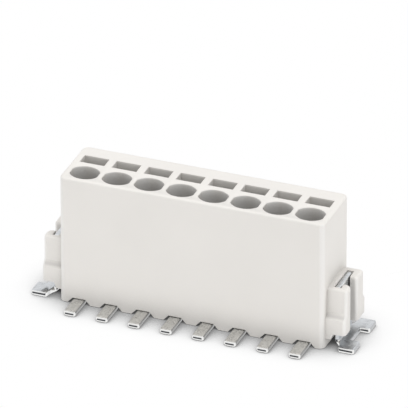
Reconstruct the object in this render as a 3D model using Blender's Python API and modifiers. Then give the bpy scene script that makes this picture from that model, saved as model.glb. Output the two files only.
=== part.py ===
"""Surface-mount terminal block: eight push-in terminals in a row, wires entering from above.

One moulded housing carries a bent contact strip and a leaf spring in each chamber, and a sheet
metal solder anchor in the ear at each end. Sizes are in metres. X runs along the row, Y from the
solder feet to the back, Z up, and Z = 0 is the circuit board.
"""
import math

import bmesh
import bpy

# Row of terminals
POSITIONS = 8
PITCH = 0.0025

# Housing block, measured from the line through the wire entries' centres
ROW_TO_FRONT = 0.00133
ROW_TO_BACK = 0.00379
END_WALL = 0.00153
HOUSING_TOP = 0.0103
BOARD_GAP = 0.00005
CORNER_RADIUS = 0.00045
TOP_RADIUS = 0.00016

# Wire entry: an ellipse with flats towards its neighbours, narrowing to a round throat
ENTRY_HALF_LENGTH = 0.00114
ENTRY_HALF_DEPTH = 0.00097
ENTRY_HALF_FLATS = 0.00106
ENTRY_RIM = 0.00008
ENTRY_STRAIGHT = 0.0015
THROAT_RADIUS = 0.0006
THROAT_BACK = 0.0002

# Release slot behind each wire entry
SLOT_WIDTH = 0.00193
SLOT_DEPTH = 0.00107
ROW_TO_SLOT = 0.00191

# Chamber below both, open towards the board
CHAMBER_WIDTH = 0.00198
CHAMBER_TOP = 0.0074
FRONT_WALL = 0.00049
BACK_WALL = 0.00054

# Contact strip
FOOT_WIDTH = 0.00091
FOOT_REACH = 0.00195
STRIP_THICKNESS = 0.00042
STRIP_BEND = 0.0002
STRIP_EDGE = 0.00014
FOOT_CORNER = 0.00018
BAR_SHOULDER = 0.0011
BAR_TO_ROOF = 0.0009
NOTCH_GAP = 0.00005
NOTCH_FLARE = 0.00038

# Leaf spring
SPRING_THICKNESS = 0.0002
SPRING_WIDTH = 0.0017
SPRING_BEND = 0.00045
SPRING_TIP = 0.0042
SPRING_FLOOR = 0.0005
SPRING_EDGE = 0.00003

# Ear at each end of the housing
EAR_REACH = 0.00153
EAR_TOP = 0.00479
EAR_HALF_LENGTH = 0.00177
EAR_SKIRT_LENGTH = 0.00034
SKIRT_TOP = 0.00242
SKIRT_SLOPE = 0.00042
EAR_BOTTOM = 0.00076
EAR_STEP = 0.00045
EAR_STEP_START = 0.0004
EAR_STEP_RUN = 0.00019
ROW_TO_EAR = 0.0012
EAR_RADIUS = 0.00025
EAR_TOP_RADIUS = 0.0002
ROW_TO_CHANNEL = 0.001025
CHANNEL_HALF_WIDTH = 0.000545
CHANNEL_FLOOR = 0.00038
FRONT_POST_RADIUS = 0.00042
REAR_POST_RADIUS = 0.00026

# Solder anchor
ANCHOR_THICKNESS = 0.0004
END_TO_PLATE = 0.00066
PLATE_HALF_WIDTH = 0.00132
PLATE_SHIFT = 0.0001
PLATE_DROP = 0.00004
ANCHOR_BEND = 0.0001
SHOULDER_START = 0.00113
FLARE_POWER = 3
ANCHOR_REACH = 0.0023
ANCHOR_HALF_LENGTH = 0.00242
LOBE_NOTCH_HALF = 0.00095
LOBE_NOTCH_START = 0.00159
LOBE_CORNER = 0.00017
ANCHOR_EDGE = 0.0001
SLOT_PLAY = 0.0001

# Clearance between a metal piece and its seat in the housing, and between the metal pieces
FIT = 0.00004

# How far a cutter passes the surface that it opens
OVERSHOOT = 0.0005

# Places that follow from the sizes above
ROW_Y = (ROW_TO_FRONT + FOOT_REACH - ROW_TO_BACK) / 2
FRONT_Y = ROW_Y - ROW_TO_FRONT
BACK_Y = ROW_Y + ROW_TO_BACK
SLOT_Y = ROW_Y + ROW_TO_SLOT
EAR_Y = ROW_Y + ROW_TO_EAR
CHANNEL_Y = ROW_Y + ROW_TO_CHANNEL
CHAMBER_FRONT_Y = FRONT_Y + FRONT_WALL
CHAMBER_BACK_Y = BACK_Y - BACK_WALL
END_X = (POSITIONS - 1) / 2 * PITCH + END_WALL
BAR_Y = CHAMBER_FRONT_Y + FIT + STRIP_THICKNESS / 2
TERMINAL_X = [(index - (POSITIONS - 1) / 2) * PITCH for index in range(POSITIONS)]

# Curve steps
ARC_STEPS = 5
EDGE_STEPS = 3
SHEET_EDGE_STEPS = 2
ENTRY_STEPS = 13
FLARE_STEPS = 2
RIM_STEPS = 2

# Points closer than this share a place, and faces within this angle are one plane
SAME_PLACE = 0.000001
SAME_PLANE = 0.001

# Edges sharper than these are sheared edges of a strip, or stay crisp when shaded
SHEARED_ANGLE = math.radians(50)
CRISP_ANGLE = math.radians(35)


def fresh_collection(name, parent=None):
    collection = bpy.data.collections.new(name)
    (parent or bpy.context.scene.collection).children.link(collection)
    return collection


def finish(name, colour, roughness, metallic):
    """Principled material with the piece's plain colour."""
    material = bpy.data.materials.new(name)
    material.use_nodes = True
    shader = material.node_tree.nodes["Principled BSDF"]
    shader.inputs["Base Color"].default_value = (*colour, 1)
    shader.inputs["Roughness"].default_value = roughness
    shader.inputs["Metallic"].default_value = metallic
    return material


def add_object(name, shape, collection, material=None):
    """Turn a bmesh into a named object with outward faces."""
    bmesh.ops.recalc_face_normals(shape, faces=shape.faces)
    mesh = bpy.data.meshes.new(name)
    shape.to_mesh(mesh)
    shape.free()
    if material:
        mesh.materials.append(material)
    item = bpy.data.objects.new(name, mesh)
    collection.objects.link(item)
    return item


def block(low, high):
    """Box between two corners."""
    shape = bmesh.new()
    bmesh.ops.create_cube(shape, size=1)
    for vertex in shape.verts:
        for axis in range(3):
            vertex.co[axis] = high[axis] if vertex.co[axis] > 0 else low[axis]
    return shape


def loft(sections):
    """Closed solid through rings of points, all with as many points as each other."""
    shape = bmesh.new()
    rings = [[shape.verts.new(point) for point in section] for section in sections]
    for lower, upper in zip(rings, rings[1:]):
        for index in range(len(lower)):
            shape.faces.new((lower[index - 1], lower[index], upper[index], upper[index - 1]))
    shape.faces.new(rings[0])
    shape.faces.new(rings[-1])
    return shape


def rounded(shape, radius, steps, chosen):
    """Round the edges whose two ends both satisfy the chosen test."""
    edges = [edge for edge in shape.edges if chosen(*(vertex.co for vertex in edge.verts))]
    bmesh.ops.bevel(shape, geom=edges, offset=radius, segments=steps, profile=0.5, affect="EDGES")
    return shape


def upright(a, b):
    """True for an edge that stands up or leans only along Y."""
    return abs(a.z - b.z) > SAME_PLACE and abs(a.x - b.x) < SAME_PLACE


def filleted(corners, radii, steps=ARC_STEPS):
    """Open 2D path through corners, each inner one rounded to its radius."""
    path = [corners[0]]
    for before, corner, after, radius in zip(corners, corners[1:], corners[2:], radii):
        to_before = math.atan2(before[1] - corner[1], before[0] - corner[0])
        to_after = math.atan2(after[1] - corner[1], after[0] - corner[0])
        turn = (to_after - to_before + math.pi) % (2 * math.pi) - math.pi
        middle = to_before + turn / 2
        reach = radius / math.sin(abs(turn) / 2)
        centre = (corner[0] + reach * math.cos(middle), corner[1] + reach * math.sin(middle))
        sweep = (math.pi - abs(turn)) * math.copysign(1, turn)
        for step in range(steps + 1):
            angle = middle + math.pi + sweep * (0.5 - step / steps)
            path.append((centre[0] + radius * math.cos(angle), centre[1] + radius * math.sin(angle)))
    path.append(corners[-1])
    return path


def ribbon(path, stations, place, corner, left_out=lambda row, column: False):
    """Open sheet along a path, with its outer corners rounded in the sheet's own plane.

    stations(row) gives the places across the sheet at one path point, and place(u, v, across)
    puts a path point and a station into space.
    """
    shape = bmesh.new()
    grid = [[shape.verts.new(place(*point, across)) for across in stations(row)]
            for row, point in enumerate(path)]
    for row in range(len(grid) - 1):
        for column in range(len(grid[0]) - 1):
            if not left_out(row, column):
                shape.faces.new((grid[row][column], grid[row][column + 1],
                                 grid[row + 1][column + 1], grid[row + 1][column]))
    loose = [vertex for vertex in shape.verts if not vertex.link_faces]
    bmesh.ops.delete(shape, geom=loose, context="VERTS")
    outer = [vertex for vertex in shape.verts if len(vertex.link_faces) == 1]
    bmesh.ops.bevel(shape, geom=outer, offset=corner, segments=EDGE_STEPS, profile=0.5,
                    affect="VERTICES")
    return shape


def sheet_metal(name, shape, thickness, edge, collection, material):
    """Bent piece of sheet: the open ribbon made solid, with its sheared edges rounded."""
    item = add_object(name, shape, collection, material)
    solid = item.modifiers.new("sheet thickness", "SOLIDIFY")
    solid.thickness = thickness
    solid.offset = 0
    solid.use_even_offset = True
    soft = item.modifiers.new("sheared edges", "BEVEL")
    soft.width = edge
    soft.segments = SHEET_EDGE_STEPS
    soft.limit_method = "ANGLE"
    soft.angle_limit = SHEARED_ANGLE
    facets = item.modifiers.new("even facets", "TRIANGULATE")
    facets.quad_method = "BEAUTY"
    facets.ngon_method = "BEAUTY"
    return item


def one_per_terminal(item, collection):
    """Copies of a piece built at X = 0, one at each terminal, all with the same mesh."""
    name = item.name
    pieces = [item]
    for _ in TERMINAL_X[1:]:
        twin = item.copy()
        collection.objects.link(twin)
        pieces.append(twin)
    for number, (piece, x) in enumerate(zip(pieces, TERMINAL_X), 1):
        piece.name = f"{name}_{number}"
        piece.location.x = x
    return pieces


def combine(target, tools, operation):
    """Live exact Boolean with all the tools of a collection, which stay out of the finished part."""
    for tool in tools.objects:
        tool.hide_render = True
        tool.display_type = "WIRE"
    modifier = target.modifiers.new(tools.name, "BOOLEAN")
    modifier.operation = operation
    modifier.solver = "EXACT"
    modifier.operand_type = "COLLECTION"
    modifier.collection = tools


def evaluated_mesh(item):
    graph = bpy.context.evaluated_depsgraph_get()
    return bpy.data.meshes.new_from_object(item.evaluated_get(graph))


def entry_outline(grow, z):
    """Wire entry's outline at one height: an ellipse cut off by two flats."""
    length = ENTRY_HALF_LENGTH + grow
    depth = ENTRY_HALF_DEPTH + grow
    start = math.acos((ENTRY_HALF_FLATS + grow) / length)
    points = []
    for side in (0, math.pi):
        for step in range(ENTRY_STEPS + 1):
            angle = side + start + (math.pi - 2 * start) * step / ENTRY_STEPS
            points.append((length * math.cos(angle), ROW_Y + depth * math.sin(angle), z))
    return points


def throat_outline(z):
    """Round outline with one point for each point of the wire entry."""
    start = math.acos(ENTRY_HALF_FLATS / ENTRY_HALF_LENGTH)
    points = []
    for side in (0, math.pi):
        for step in range(ENTRY_STEPS + 1):
            angle = side + start + (math.pi - 2 * start) * step / ENTRY_STEPS
            points.append((THROAT_RADIUS * math.cos(angle),
                           ROW_Y + THROAT_BACK + THROAT_RADIUS * math.sin(angle), z))
    return points


def wire_funnel():
    """Space of one wire entry, from the throat up past the rounded rim."""
    sections = [throat_outline(CHAMBER_TOP - OVERSHOOT), throat_outline(CHAMBER_TOP),
                entry_outline(0, HOUSING_TOP - ENTRY_STRAIGHT)]
    for step in range(RIM_STEPS + 1):
        depth = ENTRY_RIM * (1 - step / RIM_STEPS)
        grow = ENTRY_RIM - math.sqrt(ENTRY_RIM ** 2 - (ENTRY_RIM - depth) ** 2)
        sections.append(entry_outline(grow, HOUSING_TOP - depth))
    sections.append(entry_outline(ENTRY_RIM, HOUSING_TOP + OVERSHOOT))
    return loft(sections)


def foot_notch():
    """Trapezoid opening for the solder foot in the bottom edge of the front wall."""
    top_z = STRIP_THICKNESS + NOTCH_GAP
    half_top = FOOT_WIDTH / 2 + NOTCH_GAP
    flare = NOTCH_FLARE / (top_z - BOARD_GAP)
    sections = []
    for z in (-OVERSHOOT, top_z):
        half = half_top + flare * (top_z - z)
        sections.append([(-half, FRONT_Y - OVERSHOOT, z), (half, FRONT_Y - OVERSHOOT, z),
                         (half, CHAMBER_FRONT_Y + OVERSHOOT, z),
                         (-half, CHAMBER_FRONT_Y + OVERSHOOT, z)])
    return loft(sections)


def bend_relief():
    """Room behind the front wall's lip for the strip's upward bend."""
    half = FOOT_WIDTH / 2 + NOTCH_GAP
    lip = FRONT_WALL / 2
    top_z = STRIP_THICKNESS + 2 * STRIP_BEND + NOTCH_GAP
    return block((-half, FRONT_Y + lip, -OVERSHOOT), (half, CHAMBER_FRONT_Y + OVERSHOOT, top_z))


def terminal_core(tools):
    """Space inside the housing that one terminal takes, as the mould's core would be."""
    half_chamber = CHAMBER_WIDTH / 2
    half_slot = SLOT_WIDTH / 2
    chamber = block((-half_chamber, CHAMBER_FRONT_Y, -OVERSHOOT),
                    (half_chamber, CHAMBER_BACK_Y, CHAMBER_TOP))
    slot = block((-half_slot, SLOT_Y - SLOT_DEPTH / 2, CHAMBER_TOP - OVERSHOOT),
                 (half_slot, SLOT_Y + SLOT_DEPTH / 2, HOUSING_TOP + OVERSHOOT))
    core = add_object("terminal_core", chamber, tools)
    openings = fresh_collection("terminal_openings", tools)
    add_object("wire_funnel", wire_funnel(), openings)
    add_object("release_slot", slot, openings)
    add_object("foot_notch", foot_notch(), openings)
    add_object("bend_relief", bend_relief(), openings)
    combine(core, openings, "UNION")
    mesh = evaluated_mesh(core)
    for item in (core, *openings.objects):
        bpy.data.objects.remove(item)
    bpy.data.collections.remove(openings)
    return mesh


def ear_section(z, half_length):
    """Ear's outline seen from above, with the channel open towards its outer face."""
    inner = END_X - EAR_RADIUS
    outer = END_X + EAR_REACH
    floor = END_X + CHANNEL_FLOOR
    front, back = EAR_Y - half_length, EAR_Y + half_length
    channel_front, channel_back = CHANNEL_Y - CHANNEL_HALF_WIDTH, CHANNEL_Y + CHANNEL_HALF_WIDTH
    outline = [(inner, front), (outer, front), (outer, channel_front), (floor, channel_front),
               (floor, channel_back), (outer, channel_back), (outer, back), (inner, back)]
    return [(x, y, z) for x, y in outline]


def ear_block():
    """Ear with a wider skirt below and rounded edges."""
    skirt = EAR_HALF_LENGTH + EAR_SKIRT_LENGTH
    shape = loft([ear_section(EAR_BOTTOM, skirt), ear_section(SKIRT_TOP, skirt),
                  ear_section(SKIRT_TOP + SKIRT_SLOPE, EAR_HALF_LENGTH),
                  ear_section(EAR_TOP, EAR_HALF_LENGTH)])
    bmesh.ops.dissolve_limit(shape, angle_limit=SAME_PLANE, verts=shape.verts, edges=shape.edges)
    outer = END_X + EAR_REACH

    def outer_upright(a, b):
        return upright(a, b) and abs(a.x - outer) < SAME_PLACE

    def front_post(a, b):
        return outer_upright(a, b) and abs(a.y - CHANNEL_Y + CHANNEL_HALF_WIDTH) < SAME_PLACE

    def rear_post(a, b):
        return outer_upright(a, b) and abs(a.y - CHANNEL_Y - CHANNEL_HALF_WIDTH) < SAME_PLACE

    def corner_upright(a, b):
        return outer_upright(a, b) and abs(a.y - EAR_Y) > EAR_HALF_LENGTH - SAME_PLACE

    def top_rim(a, b):
        return min(a.z, b.z) > EAR_TOP - SAME_PLACE and max(a.x, b.x) > END_X

    rounded(shape, FRONT_POST_RADIUS, ARC_STEPS, front_post)
    rounded(shape, REAR_POST_RADIUS, ARC_STEPS, rear_post)
    rounded(shape, EAR_RADIUS, EDGE_STEPS, corner_upright)
    rounded(shape, EAR_TOP_RADIUS, EDGE_STEPS, top_rim)
    return shape


def plate_slot():
    """Slot for the anchor's plate, with play on its outer side."""
    plate_x = END_X + END_TO_PLATE
    half = PLATE_HALF_WIDTH + FIT
    centre = EAR_Y - PLATE_SHIFT
    return block((plate_x - ANCHOR_THICKNESS / 2 - FIT, centre - half, -OVERSHOOT),
                 (plate_x + ANCHOR_THICKNESS / 2 + SLOT_PLAY, centre + half, EAR_TOP + OVERSHOOT))


def ear_step():
    """Cut that lifts the ear's outer underside clear of the anchor's bend."""
    start = END_X + EAR_STEP_START
    outer = END_X + EAR_REACH + OVERSHOOT
    top_z = EAR_BOTTOM + EAR_STEP
    side = [(start, EAR_BOTTOM), (start + EAR_STEP_RUN, top_z), (outer, top_z),
            (outer, -OVERSHOOT), (start, -OVERSHOOT)]
    reach = EAR_HALF_LENGTH + EAR_SKIRT_LENGTH + OVERSHOOT
    return loft([[(x, EAR_Y + y, z) for x, z in side] for y in (-reach, reach)])


def mirrored(shape):
    """The same shape on the other end of the row."""
    bmesh.ops.scale(shape, vec=(-1, 1, 1), verts=shape.verts)
    bmesh.ops.reverse_faces(shape, faces=shape.faces)
    return shape


def build_housing(parts, tools, plastic):
    shape = block((-END_X, FRONT_Y, BOARD_GAP), (END_X, BACK_Y, HOUSING_TOP))

    def top_rim(a, b):
        return min(a.z, b.z) > HOUSING_TOP - SAME_PLACE

    rounded(shape, CORNER_RADIUS, ARC_STEPS, upright)
    rounded(shape, TOP_RADIUS, EDGE_STEPS, top_rim)
    housing = add_object("housing", shape, parts, plastic)
    ears = fresh_collection("ears", tools)
    openings = fresh_collection("housing_openings", tools)
    for side, flip in (("right", lambda solid: solid), ("left", mirrored)):
        add_object(f"ear_{side}", flip(ear_block()), ears)
        add_object(f"ear_step_{side}", flip(ear_step()), openings)
        add_object(f"plate_slot_{side}", flip(plate_slot()), openings)
    core = terminal_core(tools)
    for number, x in enumerate(TERMINAL_X, 1):
        opening = bpy.data.objects.new(f"terminal_core_{number}", core)
        opening.location.x = x
        openings.objects.link(opening)
    combine(housing, ears, "UNION")
    combine(housing, openings, "DIFFERENCE")
    return housing


def build_contacts(parts, tin):
    """Bent strips, each with a solder foot in front and a wide clamping bar in its chamber."""
    foot_z = STRIP_THICKNESS / 2
    middle_bend = STRIP_BEND + STRIP_THICKNESS / 2
    path = filleted([(FRONT_Y - FOOT_REACH, foot_z), (BAR_Y, foot_z), (BAR_Y, BAR_SHOULDER)],
                    [middle_bend])
    path.append((BAR_Y, CHAMBER_TOP - BAR_TO_ROOF))
    half_foot = FOOT_WIDTH / 2
    half_bar = CHAMBER_WIDTH / 2 - FIT
    shoulder_row = len(path) - 2
    shape = ribbon(path, lambda row: (-half_bar, -half_foot, half_foot, half_bar),
                   lambda y, z, across: (across, y, z), FOOT_CORNER,
                   lambda row, column: row < shoulder_row and column != 1)
    contact = sheet_metal("contact", shape, STRIP_THICKNESS, STRIP_EDGE, parts, tin)
    return one_per_terminal(contact, parts)


def spring_path():
    """Leaf spring seen from the side: floor leg, back leg, bend under the roof, clamping leg."""
    half = SPRING_THICKNESS / 2
    bar_face = BAR_Y + STRIP_THICKNESS / 2
    back = CHAMBER_BACK_Y - FIT - half
    bend = SPRING_BEND
    centre = (back - bend, CHAMBER_TOP - FIT - half - bend)
    path = filleted([(bar_face + FIT, SPRING_FLOOR), (back, SPRING_FLOOR), (back, centre[1])],
                    [bend])
    tip = (bar_face + FIT + half, SPRING_TIP)
    to_tip = math.atan2(tip[1] - centre[1], tip[0] - centre[0]) % (2 * math.pi)
    end = to_tip - math.acos(bend / math.dist(tip, centre))
    steps = 2 * ARC_STEPS
    for step in range(1, steps + 1):
        angle = end * step / steps
        path.append((centre[0] + bend * math.cos(angle), centre[1] + bend * math.sin(angle)))
    path.append(tip)
    return path


def build_springs(parts, steel):
    half = SPRING_WIDTH / 2
    shape = ribbon(spring_path(), lambda row: (-half, half),
                   lambda y, z, across: (across, y, z), SPRING_THICKNESS)
    spring = sheet_metal("clamp_spring", shape, SPRING_THICKNESS, SPRING_EDGE, parts, steel)
    return one_per_terminal(spring, parts)


def build_anchors(parts, tin):
    """Plate in the ear's slot, widening through its bend into a foot with two lobes."""
    plate_x = END_X + END_TO_PLATE
    foot_z = ANCHOR_THICKNESS / 2
    middle_bend = ANCHOR_BEND + ANCHOR_THICKNESS / 2
    foot_end = END_X + ANCHOR_REACH
    notch_x = END_X + LOBE_NOTCH_START
    path = [(plate_x, EAR_TOP - PLATE_DROP)]
    path += filleted([(plate_x, foot_z + 2 * middle_bend), (plate_x, foot_z), (notch_x, foot_z)],
                     [middle_bend])[1:]
    bend_x = plate_x + middle_bend
    flat_x = END_X + SHOULDER_START - bend_x
    path[-1:] = [(bend_x + flat_x * step / FLARE_STEPS, foot_z) for step in range(1, FLARE_STEPS + 1)]
    path += [(notch_x, foot_z), (foot_end, foot_z)]
    flare_start = 1
    flare_end = flare_start + ARC_STEPS + FLARE_STEPS
    notch_row = len(path) - 2

    def stations(row):
        share = min(max((row - flare_start) / (flare_end - flare_start), 0), 1)
        outer = PLATE_HALF_WIDTH + (ANCHOR_HALF_LENGTH - PLATE_HALF_WIDTH) * share ** FLARE_POWER
        shift = PLATE_SHIFT * (1 - share)
        return [EAR_Y - shift + y for y in (-outer, -LOBE_NOTCH_HALF, LOBE_NOTCH_HALF, outer)]

    shape = ribbon(path, stations, lambda x, z, y: (x, y, z), LOBE_CORNER,
                   lambda row, column: row == notch_row and column == 1)
    right = sheet_metal("anchor_right", shape, ANCHOR_THICKNESS, ANCHOR_EDGE, parts, tin)
    twin = bmesh.new()
    twin.from_mesh(evaluated_mesh(right))
    left = add_object("anchor_left", mirrored(twin), parts, tin)
    return [right, left]


def main():
    for item in list(bpy.data.objects):
        bpy.data.objects.remove(item)
    parts = fresh_collection("terminal_block")
    tools = fresh_collection("cutters")
    plastic = finish("white moulded plastic", (0.82, 0.81, 0.78), 0.45, 0)
    tin = finish("tinned copper alloy", (0.62, 0.62, 0.6), 0.35, 1)
    steel = finish("spring steel", (0.5, 0.5, 0.52), 0.3, 1)
    housing = build_housing(parts, tools, plastic)
    contacts = build_contacts(parts, tin)
    springs = build_springs(parts, steel)
    anchors = build_anchors(parts, tin)
    for item in (housing, *contacts, *springs, *anchors):
        item.data.shade_smooth()
        item.data.set_sharp_from_angle(angle=CRISP_ANGLE)


main()
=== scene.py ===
"""Surface-mount terminal block: finishes of its housing, contacts, springs and anchors."""

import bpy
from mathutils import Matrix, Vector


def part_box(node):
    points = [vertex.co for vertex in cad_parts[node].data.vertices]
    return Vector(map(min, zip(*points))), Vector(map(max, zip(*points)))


bl_info = {
    "name": "Terminal Block Finishes",
    "version": (1, 0, 0),
    "blender": (4, 5, 0),
    "location": "View3D > Sidebar > Terminal Block",
    "description": "Moulded plastic, tin and spring steel finishes for a row of push-in terminals",
    "category": "Object",
}

import math

import bpy
from mathutils import Vector

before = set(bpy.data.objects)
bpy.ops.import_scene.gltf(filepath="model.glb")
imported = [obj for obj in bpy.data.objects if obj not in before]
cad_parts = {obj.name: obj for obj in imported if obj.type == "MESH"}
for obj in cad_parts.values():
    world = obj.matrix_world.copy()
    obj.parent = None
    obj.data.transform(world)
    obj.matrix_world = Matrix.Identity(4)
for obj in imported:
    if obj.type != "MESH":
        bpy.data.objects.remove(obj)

LOW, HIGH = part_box("housing")
WHITE = (1, 1, 1, 1)
BLACK = (0, 0, 0, 1)

CONTACTS = [name for name in sorted(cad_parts) if name.startswith("contact_")]
SPRINGS = [name for name in sorted(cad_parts) if name.startswith("clamp_spring_")]
ANCHORS = [name for name in sorted(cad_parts) if name.startswith("anchor_")]

# Rib between the wire entries and the release slots: its place as a share of the housing's depth,
# and how far to either side the painted shade of the entries changes into that of the slots
RIB_SHARE = 0.494
RIB_Y = LOW.y + RIB_SHARE * (HIGH.y - LOW.y)
RIB_HALF = 0.0001

# Slope on which each ear widens into its skirt, darkened with painted shade: its heights, the share
# of that shade at either end, and how squarely up or down a face looks where it starts, and is
# sure, to belong to it
SCOOP_LOW = 0.00242
SCOOP_DEEPEST = 0.0026
SCOOP_HIGH = 0.00284
SCOOP_FADE = 0.00004
SCOOP_LOW_TONE = 0.3
SCOOP_HIGH_TONE = 0.35
SLOPING = (0.25, 0.5)

# How blocked a point is where the painted shade sets in, and where it is full, in corners and in
# openings
IN_CORNER = (0.1, 0.5)
IN_OPENING = (0.35, 0.8)

# Painted shade inside the openings, from the rim down: weak at the rim, full at the first depth,
# eased off at the second, and fading out below the last
RIM_TONE = 0.25
RIM_FADE = 0.00016
EASED_TONE = 0.6
EASED_DEPTH = 0.0012
LAST_DEPTH = 0.003
LAST_FADE = 0.0005

# Middle of what a noise texture gives
MIDDLE = 0.5

# Plastic: where its cloudy tone changes, how squarely its rounded uprights face both ways where
# their painted highlight sets in and is full, and how much its grain changes the roughness
CLOUDED = (0.35, 0.65)
UPRIGHT = (0.1, 0.45)
GRAIN_ROUGHNESS = 0.12

# Heights on the strips: top of the feet, start of the dark, painted-shade band on their bare cuts,
# tops of the contacts and anchors, how far the painted highlight along the top reaches down from
# those, and how gradually all this sets in
FOOT_TOP = 0.00042
CUT_LOW = 0.00013
CONTACT_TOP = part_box("contact_1")[1].z
ANCHOR_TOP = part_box("anchor_right")[1].z
CROWN = 0.00012
EDGE_FADE = 0.00004

# How squarely a face of the strips looks along Y where a side's painted shade turns into a rim's
# painted highlight, and where that turns into the dark band of a bare cut
RIM_AHEAD = (0.1, 0.4)
CUT_AHEAD = (0.88, 0.95)

# How level a face of the strips is where a sheared side turns into a rounded edge, and where that
# turns into the flat side
SHEARED_LEVEL = (0.1, 0.3)
ROUNDED_LEVEL = (0.85, 0.98)

# Tin: where its mottle changes from dull to bright, both tones, how many times finer the second
# mottle is, how much that adds to the bump, and how much each changes the roughness
MOTTLED = (0.3, 0.7)
DULL = 0.88
BRIGHT = 1.1
FINER = 6
FINE_BUMP = 0.1
MOTTLE_ROUGHNESS = 0.25
FINE_ROUGHNESS = 0.05

# Spring steel: both tones of its rolling lines, and how much they change the roughness
LINE_DULL = 0.9
LINE_BRIGHT = 1.08
LINE_ROUGHNESS = 0.2

# How close crystals and lines lie along X, Y and Z: the smaller the number, the more stretched
ALONG_CONTACT = (1.0, 0.6, 0.6)
ALONG_ANCHOR = (0.5, 1.0, 0.5)
ALONG_SPRING = (1.0, 0.03, 0.03)

# Shading of the solids: points this close are one point, and sharper edges than this stay crisp
SAME_POINT = 0.000001
CRISP_EDGE = math.radians(35)

# Camera, from the direction, scale and centre that the photograph was measured at
SENSOR = 36.0
VIEW_WIDTH = 0.02954
VIEW_TARGET = Vector((0.0005166, -0.0002566, 0.0094865))
CLIP_START = 0.01
CLIP_END = 20.0

# Rays that each shaded point sends out to find what stands near it
NEARBY_RAYS = 8

# Floor: its size, how steeply its painted shadow fades, and how blocked a point is where the
# painted shadow's edge colour turns into that of the gaps under the object
FLOOR_SIZE = 4.0
SHADOW_FALLOFF = 2.0
IN_GAP = (0.72, 0.95)

# Directions of the soft lamps: azimuth round from the front, then angle above the floor
RIGHT_LAMP = (math.radians(80), math.radians(45))
FRONT_LAMP = (math.radians(5), math.radians(12))
LEFT_LAMP = (math.radians(-80), math.radians(20))


class Socket:
    """Output of a shader node. Arithmetic on it adds Math nodes to its surface."""

    def __init__(self, surface, output):
        self.surface = surface
        self.output = output

    def math(self, operation, first, second):
        return self.surface.node("ShaderNodeMath", {"operation": operation}, {0: first, 1: second})

    def __add__(self, other):
        return self.math("ADD", self, other)

    def __radd__(self, other):
        return self.math("ADD", other, self)

    def __sub__(self, other):
        return self.math("SUBTRACT", self, other)

    def __rsub__(self, other):
        return self.math("SUBTRACT", other, self)

    def __mul__(self, other):
        return self.math("MULTIPLY", self, other)

    def __rmul__(self, other):
        return self.math("MULTIPLY", other, self)

    def __pow__(self, other):
        return self.math("POWER", self, other)

    def __rpow__(self, other):
        return self.math("POWER", other, self)

    def __abs__(self):
        return self.surface.node("ShaderNodeMath", {"operation": "ABSOLUTE"}, {0: self})


class Surface:
    """Node tree of one material or world, which builds its nodes from values and sockets."""

    def __init__(self, owner):
        owner.use_nodes = True
        self.owner = owner
        self.tree = owner.node_tree
        self.tree.nodes.clear()

    def node(self, kind, settings=None, values=None, output=0):
        """Add a node: its settings first, then what its input sockets hold or are linked to."""
        item = self.tree.nodes.new(kind)
        for name, value in (settings or {}).items():
            setattr(item, name, value)
        for name, value in (values or {}).items():
            if isinstance(value, Socket):
                self.tree.links.new(value.output, item.inputs[name])
            else:
                item.inputs[name].default_value = value
        return Socket(self, item.outputs[output]) if item.outputs else item

    def blend_colours(self, share, first, second):
        return self.node("ShaderNodeMix", {"data_type": "RGBA"},
                         {"Factor": share, 6: first, 7: second}, output=2)

    def blend_shaders(self, share, first, second):
        return self.node("ShaderNodeMixShader", None, {0: share, 1: first, 2: second})

    def place(self):
        return self.node("ShaderNodeNewGeometry", output="Position")

    def stretched(self, scale):
        """Place on the object, scaled apart along each axis."""
        return self.node("ShaderNodeVectorMath", {"operation": "MULTIPLY"},
                         {0: self.place(), 1: scale})

    def part(self, vector, axis):
        return self.node("ShaderNodeSeparateXYZ", None, {0: vector}, output=axis)

    def facing(self, axis):
        """How squarely the surface faces along an axis, either way: 0 to 1."""
        return abs(self.part(self.node("ShaderNodeNewGeometry", output="Normal"), axis))

    def noise(self, vector, scale, detail, roughness):
        return self.node("ShaderNodeTexNoise", None, {
            "Vector": vector, "Scale": scale, "Detail": detail, "Roughness": roughness})

    def between(self, value, low, high, start=0.0, end=1.0):
        """Value's share of the way from low to high, smoothed, as a number from start to end."""
        return self.node("ShaderNodeMapRange", {"interpolation_type": "SMOOTHSTEP"}, {
            "Value": value, "From Min": low, "From Max": high, "To Min": start, "To Max": end})

    def hemmed_in(self, reach):
        """How much around a point is blocked within reach: 0 in the open, 1 deep in a hole."""
        return 1 - self.node("ShaderNodeAmbientOcclusion", {"samples": NEARBY_RAYS},
                             {"Distance": reach}, output="AO")

    def bump(self, height, strength, distance):
        return self.node("ShaderNodeBump", None, {
            "Height": height, "Strength": strength, "Distance": distance}, output="Normal")

    def seen_directly(self):
        """1 for what the camera sees, also in metal or through glass."""
        seen = self.node("ShaderNodeLightPath", output="Is Camera Ray")
        for name in ("Is Glossy Ray", "Is Transmission Ray"):
            seen = seen.math("MAXIMUM", seen, self.node("ShaderNodeLightPath", output=name))
        return seen

    def principled(self, values):
        return self.node("ShaderNodeBsdfPrincipled", None, values)

    def finish(self, shader, kind="ShaderNodeOutputMaterial"):
        self.node(kind, None, {"Surface": shader})


def new_material(name):
    return Surface(bpy.data.materials.new(name))


def colour(name, description, default):
    return bpy.props.FloatVectorProperty(name=name, description=description, default=default,
                                         subtype="COLOR", size=3, min=0, max=1)


def share(name, description, default):
    return bpy.props.FloatProperty(name=name, description=description, default=default,
                                   min=0, max=1, subtype="FACTOR")


def length(name, description, default):
    return bpy.props.FloatProperty(name=name, description=description, default=default,
                                   min=0, unit="LENGTH", precision=6)


def angle(name, description, degrees):
    return bpy.props.FloatProperty(name=name, description=description,
                                   default=math.radians(degrees), subtype="ANGLE")


def strength(name, description, default):
    return bpy.props.FloatProperty(name=name, description=description, default=default, min=0)


def opaque(rgb):
    return (*rgb, 1)


def toned(rgb, factor):
    """Opaque colour, darker where the factor is under 1 and brighter above."""
    return (*(part * factor for part in rgb), 1)


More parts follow.
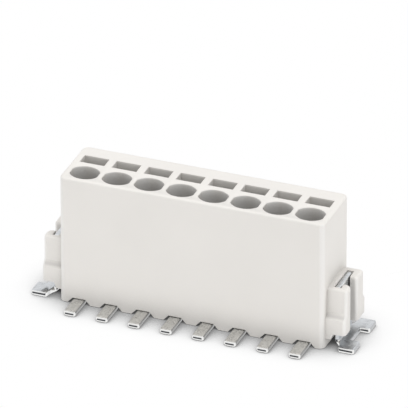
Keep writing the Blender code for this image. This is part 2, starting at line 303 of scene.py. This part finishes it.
def direction(azimuth, elevation):
    """Unit vector away from the object: azimuth from the front, turning to the right."""
    return Vector((math.sin(azimuth) * math.cos(elevation),
                   -math.cos(azimuth) * math.cos(elevation),
                   math.sin(elevation)))


def soft_shading():
    """Node group that shades round faces smooth and keeps corners crisp."""
    name = "soft_shading"
    if name in bpy.data.node_groups:
        return bpy.data.node_groups[name]
    group = bpy.data.node_groups.new(name, "GeometryNodeTree")
    group.interface.new_socket("Geometry", in_out="INPUT", socket_type="NodeSocketGeometry")
    group.interface.new_socket("Geometry", in_out="OUTPUT", socket_type="NodeSocketGeometry")
    source = group.nodes.new("NodeGroupInput")
    result = group.nodes.new("NodeGroupOutput")
    smooth = group.nodes.new("GeometryNodeSetShadeSmooth")
    crisp = group.nodes.new("GeometryNodeSetShadeSmooth")
    crisp.domain = "EDGE"
    crisp.inputs["Shade Smooth"].default_value = False
    fold = group.nodes.new("GeometryNodeInputMeshEdgeAngle")
    sharp = group.nodes.new("FunctionNodeCompare")
    sharp.operation = "GREATER_THAN"
    sharp.inputs["B"].default_value = CRISP_EDGE
    link = group.links.new
    link(fold.outputs["Unsigned Angle"], sharp.inputs["A"])
    link(source.outputs[0], smooth.inputs["Geometry"])
    link(smooth.outputs[0], crisp.inputs["Geometry"])
    link(sharp.outputs["Result"], crisp.inputs["Selection"])
    link(crisp.outputs[0], result.inputs[0])
    return group


def dress(names, surface):
    """Give solids their finish and smooth shading."""
    for name in names:
        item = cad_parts[name]
        item.data.materials.clear()
        item.data.materials.append(surface.owner)
        weld = item.modifiers.new("one point per corner", "WELD")
        weld.merge_threshold = SAME_POINT
        shading = item.modifiers.new("soft shading", "NODES")
        shading.node_group = soft_shading()
        normals = item.modifiers.new("flat faces stay flat", "WEIGHTED_NORMAL")
        normals.keep_sharp = True


class HousingFinish(bpy.types.PropertyGroup):
    colour: colour("Plastic", "Colour of the moulded housing", (0.91, 0.883, 0.844))
    shade: share("Shade", "How much the colour varies over the moulding", 0.03)
    # Painted shade: how much darker the slope where an ear widens into its skirt is coloured
    slope_shade: share("Scoops", "How much deeper the tone is where an ear widens into its skirt", 0.24)
    # Painted shade: the next four darken the colour in inner corners, and more inside the wire
    # entries and the release slots, by how much the surroundings block each point
    corner_shade: share("Corners", "How much deeper the tone is in inner corners", 0.25)
    entry_shade: share("Entries", "How much deeper again the tone is inside the wire entries", 0.37)
    release: share("Release slots", "How much deeper again the tone is inside the slots", 0.06)
    shade_reach: length("Hollow reach", "How near a wall has to be to deepen the tone", 0.003)
    # Painted highlight: the plastic is coloured paler along its rounded uprights
    rim_highlight: share("Rims", "How much paler the plastic is along its rounded uprights", 0.3)
    roughness: share("Roughness", "Roughness of the moulded surface", 0.46)
    grain: length("Grain", "Size of the spark-eroded grain", 0.00006)
    grain_depth: length("Grain depth", "Depth of the spark-eroded grain", 0.0000008)


class TinFinish(bpy.types.PropertyGroup):
    contact: colour("Contact tin", "Colour of the solder feet's plating", (0.68, 0.68, 0.665))
    anchor: colour("Anchor tin", "Colour of the anchors' plating", (0.62, 0.64, 0.66))
    # Bare sheared metal, darkened further with painted shade
    cut: colour("Cut faces", "Colour of the bare metal where the strip was sheared",
                (0.05, 0.053, 0.058))
    # Painted shade: the sides of the feet and of the anchors are coloured darker than their
    # plating, over sheared metal
    side_shade: colour("Flanks", "Colour of the long sides of the solder feet", (0.36, 0.36, 0.355))
    lobe_shade: colour("Lobe sides", "Colour of the anchors' sides along the row", (0.5, 0.51, 0.52))
    # Painted highlight along the rounded rims of the strips
    rim_highlight: colour("Rims", "Colour of the polished rims along the cuts", (0.9, 0.9, 0.89))
    roughness: share("Roughness", "Roughness of the plating", 0.3)
    mottle: length("Mottle", "Size of the plating's crystals", 0.00022)
    mottle_depth: length("Mottle depth", "Depth of the plating's unevenness", 0.0000018)


class SpringFinish(bpy.types.PropertyGroup):
    colour: colour("Spring steel", "Colour of the leaf springs", (0.5, 0.5, 0.52))
    roughness: share("Roughness", "Roughness of the rolled strip", 0.28)
    line: length("Rolling lines", "Spacing of the lines left by rolling", 0.00003)


class StageLook(bpy.types.PropertyGroup):
    azimuth: angle("Azimuth", "Turn of the camera round the object", 21.04)
    elevation: angle("Elevation", "Angle of the camera above the floor", 28.62)
    distance: length("Distance", "Distance from the camera to the object", 0.8)
    sky: strength("Sky", "Strength of the light from overhead", 0.89)
    horizon: strength("Horizon", "Strength of the light from the sides", 0.2)
    right_lamp: strength("Right lamp", "Strength of the soft light from the right", 1.71)
    front_lamp: strength("Front lamp", "Strength of the soft light from the front", 1.1)
    left_lamp: strength("Left lamp", "Strength of the soft light from the left", 1.12)
    lamp_spread: angle("Lamp spread", "Half the angle that each soft light spans", 48)
    floor: colour("Floor", "Colour of the floor, as it lights the object", (0.75, 0.75, 0.75))
    # Painted shadow on the floor: the next four set its depth, reach and colours
    shadow: strength("Shadow", "Depth of the shadow where the object meets the floor", 3.1)
    shadow_reach: length("Shadow reach", "How far that shadow reaches", 0.0032)
    edge: colour("Shadow edge", "Colour of the floor along the object's edge", (0.28, 0.28, 0.28))
    gap: colour("Shadow gap", "Colour of the floor in the gaps under the object",
                (0.02, 0.02, 0.02))


class TERMINAL_OT_housing(bpy.types.Operator):
    """Give the housing its moulded plastic"""
    bl_idname = "terminal.housing"
    bl_label = "Housing"

    def execute(self, context):
        look = context.scene.housing_finish
        surface = new_material("housing_plastic")
        place = surface.place()
        cloud = surface.noise(place, 1 / (HIGH.z - LOW.z), detail=3.0, roughness=0.5)
        grain = surface.noise(place, 1 / look.grain, detail=2.0, roughness=0.6)
        tint = surface.blend_colours(surface.between(cloud, *CLOUDED), opaque(look.colour),
                                     toned(look.colour, 1 - look.shade))
        # Painted shade: the colour darkens in inner corners and inside the openings by how blocked
        # each point is, and on the skirt slopes
        blocked = surface.hemmed_in(look.shade_reach)
        opening_shade = surface.between(surface.part(place, "Y"), RIB_Y - RIB_HALF, RIB_Y + RIB_HALF,
                                  look.entry_shade, look.release)
        height = surface.part(place, "Z")
        # Painted shade on the slope where each ear widens into its skirt, deepest at its middle
        slope_shade = (surface.between(height, SCOOP_LOW, SCOOP_DEEPEST, SCOOP_LOW_TONE, 1.0) * look.slope_shade
                 * surface.between(height, SCOOP_DEEPEST, SCOOP_HIGH, 1.0, SCOOP_HIGH_TONE)
                 * surface.between(height, SCOOP_LOW - SCOOP_FADE, SCOOP_LOW)
                 * surface.between(height, SCOOP_HIGH, SCOOP_HIGH + SCOOP_FADE, 1.0, 0.0)
                 * surface.between(surface.facing("Z"), *SLOPING))
        below = surface.between(height, HIGH.z - RIM_FADE, HIGH.z, 1.0, RIM_TONE)
        eased = (surface.between(height, HIGH.z - EASED_DEPTH, HIGH.z - RIM_FADE, EASED_TONE, 1.0)
                 * surface.between(height, HIGH.z - LAST_DEPTH - LAST_FADE, HIGH.z - LAST_DEPTH))
        painted_shade = (surface.between(blocked, *IN_CORNER) * look.corner_shade
                  + surface.between(blocked, *IN_OPENING) * opening_shade * eased) * below + slope_shade
        # Painted highlight along the rounded uprights
        rim_highlight = surface.between(surface.facing("X") * surface.facing("Y"), *UPRIGHT, 0.0, look.rim_highlight)
        surface.finish(surface.principled({
            "Base Color": surface.blend_colours(
                painted_shade, surface.blend_colours(rim_highlight, tint, WHITE), BLACK),
            "Roughness": look.roughness + (grain - MIDDLE) * GRAIN_ROUGHNESS,
            "Normal": surface.bump(grain, 1.0, look.grain_depth),
        }))
        dress(["housing"], surface)
        return {"FINISHED"}


def tin(name, rgb, look, along, side_shade, top):
    """Matt tin plating with crystals stretched along the strip, and painted light and shade on its
    sheared edges.

    On the foot, the cuts that face along Y are bare metal, darkened further by painted shade, with
    painted highlights along their rims, and the other sides are darkened by painted shade. The rim
    along the strip's top has a painted highlight.
    """
    surface = new_material(name)
    mottle = surface.noise(surface.stretched(along), 1 / look.mottle, detail=4.0, roughness=0.62)
    fine = surface.noise(surface.place(), FINER / look.mottle, detail=2.0, roughness=0.5)
    plated = surface.blend_colours(surface.between(mottle, *MOTTLED), toned(rgb, DULL),
                                   toned(rgb, BRIGHT))
    level = surface.facing("Z")
    ahead = surface.facing("Y")
    # Painted shade on the sides and painted highlight on the rims, by which way a face looks
    edge_light_and_shade = surface.blend_colours(surface.between(ahead, *RIM_AHEAD), opaque(side_shade),
                                     opaque(look.rim_highlight))
    height = surface.part(surface.place(), "Z")
    foot = surface.between(height, FOOT_TOP, FOOT_TOP + EDGE_FADE, 1.0, 0.0)
    # Painted highlight along the strip's top
    top_highlight = surface.between(height, top - CROWN, top - CROWN + EDGE_FADE)
    rounded = surface.between(level, *ROUNDED_LEVEL, 1.0, 0.0)
    edged = surface.blend_colours(rounded * foot, plated, edge_light_and_shade)
    topped = surface.blend_colours(rounded * top_highlight, edged, opaque(look.rim_highlight))
    # Dark band on the cut ends: bare sheared metal, darkened further with painted shade
    shaded_bare_cut = (surface.between(ahead, *CUT_AHEAD)
            * surface.between(height, CUT_LOW, CUT_LOW + EDGE_FADE))
    sheared = surface.blend_colours(shaded_bare_cut, edge_light_and_shade, opaque(look.cut))
    cut = surface.between(level, *SHEARED_LEVEL, 1.0, 0.0) * foot
    surface.finish(surface.principled({
        "Base Color": surface.blend_colours(cut, topped, sheared),
        "Metallic": 1.0,
        "Roughness": (look.roughness + (mottle - MIDDLE) * MOTTLE_ROUGHNESS
                      + (fine - MIDDLE) * FINE_ROUGHNESS),
        "Normal": surface.bump(mottle + fine * FINE_BUMP, 1.0, look.mottle_depth),
    }))
    return surface


class TERMINAL_OT_contacts(bpy.types.Operator):
    """Give the contact strips their tin plating"""
    bl_idname = "terminal.contacts"
    bl_label = "Contacts"

    def execute(self, context):
        look = context.scene.tin_finish
        surface = tin("contact_tin", look.contact, look, ALONG_CONTACT, look.side_shade, CONTACT_TOP)
        dress(CONTACTS, surface)
        return {"FINISHED"}


class TERMINAL_OT_anchors(bpy.types.Operator):
    """Give the solder anchors their tin plating"""
    bl_idname = "terminal.anchors"
    bl_label = "Anchors"

    def execute(self, context):
        look = context.scene.tin_finish
        surface = tin("anchor_tin", look.anchor, look, ALONG_ANCHOR, look.lobe_shade, ANCHOR_TOP)
        dress(ANCHORS, surface)
        return {"FINISHED"}


class TERMINAL_OT_springs(bpy.types.Operator):
    """Give the leaf springs their rolled steel"""
    bl_idname = "terminal.springs"
    bl_label = "Springs"

    def execute(self, context):
        look = context.scene.spring_finish
        surface = new_material("spring_steel")
        lines = surface.noise(surface.stretched(ALONG_SPRING), 1 / look.line,
                              detail=2.0, roughness=0.5)
        surface.finish(surface.principled({
            "Base Color": surface.blend_colours(lines, toned(look.colour, LINE_DULL),
                                                toned(look.colour, LINE_BRIGHT)),
            "Metallic": 1.0,
            "Roughness": look.roughness + (lines - MIDDLE) * LINE_ROUGHNESS,
        }))
        dress(SPRINGS, surface)
        return {"FINISHED"}


def add_floor(look):
    """Pale floor that is seen white, with a painted shadow of the object where it stands: its
    emission colour darkens with how blocked each point is.
    """
    bpy.ops.mesh.primitive_plane_add(size=FLOOR_SIZE)
    floor = bpy.context.object
    floor.name = "floor"
    surface = new_material("floor")
    directly = surface.node("ShaderNodeLightPath", output="Is Camera Ray")
    blocked = surface.hemmed_in(look.shadow_reach)
    # Painted shadow, in the colour that the camera sees
    shadow = blocked ** SHADOW_FALLOFF * look.shadow * directly
    depth = surface.blend_colours(surface.between(blocked, *IN_GAP), opaque(look.edge),
                                  opaque(look.gap))
    matt = surface.principled({"Base Color": opaque(look.floor), "Roughness": 1.0})
    white = surface.principled({
        "Base Color": BLACK,
        "Specular IOR Level": 0.0,
        "Emission Color": surface.blend_colours(shadow, WHITE, depth),
        "Emission Strength": 1.0,
    })
    surface.finish(surface.blend_shaders(surface.seen_directly(), matt, white))
    floor.data.materials.append(surface.owner)


def add_sky(look):
    """Soft light from all round and three soft lamps, with a white backdrop where it is seen."""
    world = bpy.data.worlds.new("studio")
    bpy.context.scene.world = world
    surface = Surface(world)

    def background(level):
        return surface.node("ShaderNodeBackground", None, {"Color": WHITE, "Strength": level})

    ray = surface.node("ShaderNodeTexCoord", output="Generated")
    lit = surface.blend_shaders(surface.between(surface.part(ray, "Z"), 0.0, 1.0),
                                background(look.horizon), background(look.sky))
    for lamp, level in ((FRONT_LAMP, look.front_lamp), (LEFT_LAMP, look.left_lamp),
                        (RIGHT_LAMP, look.right_lamp)):
        towards = surface.node("ShaderNodeVectorMath", {"operation": "DOT_PRODUCT"},
                               {0: ray, 1: direction(*lamp)}, output="Value")
        lit = surface.blend_shaders(surface.between(towards, math.cos(look.lamp_spread), 1.0),
                                    lit, background(level))
    surface.finish(surface.blend_shaders(surface.seen_directly(), lit, background(1.0)),
                   "ShaderNodeOutputWorld")


def add_camera(look):
    """Distant camera, which sees the object from the photograph's side."""
    away = direction(look.azimuth, look.elevation)
    data = bpy.data.cameras.new("camera")
    data.sensor_width = SENSOR
    data.lens = SENSOR * look.distance / VIEW_WIDTH
    data.clip_start = CLIP_START
    data.clip_end = CLIP_END
    camera = bpy.data.objects.new("camera", data)
    bpy.context.scene.collection.objects.link(camera)
    camera.location = VIEW_TARGET + away * look.distance
    camera.rotation_euler = away.to_track_quat("Z", "Y").to_euler()
    bpy.context.scene.camera = camera


class TERMINAL_OT_stage(bpy.types.Operator):
    """Set up the floor, the light and the camera"""
    bl_idname = "terminal.stage"
    bl_label = "Stage"

    def execute(self, context):
        look = context.scene.stage_look
        add_floor(look)
        add_sky(look)
        add_camera(look)
        context.scene.view_settings.view_transform = "Standard"
        return {"FINISHED"}


class TERMINAL_PT_finishes(bpy.types.Panel):
    """Buttons and settings of the terminal block"""
    bl_idname = "TERMINAL_PT_finishes"
    bl_label = "Terminal Block"
    bl_space_type = "VIEW_3D"
    bl_region_type = "UI"
    bl_category = "Terminal Block"

    def draw(self, context):
        for operator in OPERATORS:
            self.layout.operator(operator.bl_idname)
        for name, group in SETTINGS.items():
            box = self.layout.box()
            for prop in group.__annotations__:
                box.prop(getattr(context.scene, name), prop)


SETTINGS = {"housing_finish": HousingFinish, "tin_finish": TinFinish,
            "spring_finish": SpringFinish, "stage_look": StageLook}
OPERATORS = (TERMINAL_OT_housing, TERMINAL_OT_contacts, TERMINAL_OT_springs,
             TERMINAL_OT_anchors, TERMINAL_OT_stage)


def register():
    for kind in (*SETTINGS.values(), *OPERATORS, TERMINAL_PT_finishes):
        bpy.utils.register_class(kind)
    for name, group in SETTINGS.items():
        setattr(bpy.types.Scene, name, bpy.props.PointerProperty(type=group))


def unregister():
    for name in SETTINGS:
        delattr(bpy.types.Scene, name)
    for kind in (TERMINAL_PT_finishes, *reversed(OPERATORS), *SETTINGS.values()):
        bpy.utils.unregister_class(kind)


def main():
    register()
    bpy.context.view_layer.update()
    bpy.ops.terminal.housing()
    bpy.ops.terminal.contacts()
    bpy.ops.terminal.springs()
    bpy.ops.terminal.anchors()
    bpy.ops.terminal.stage()


if __name__ == "__main__":
    main()
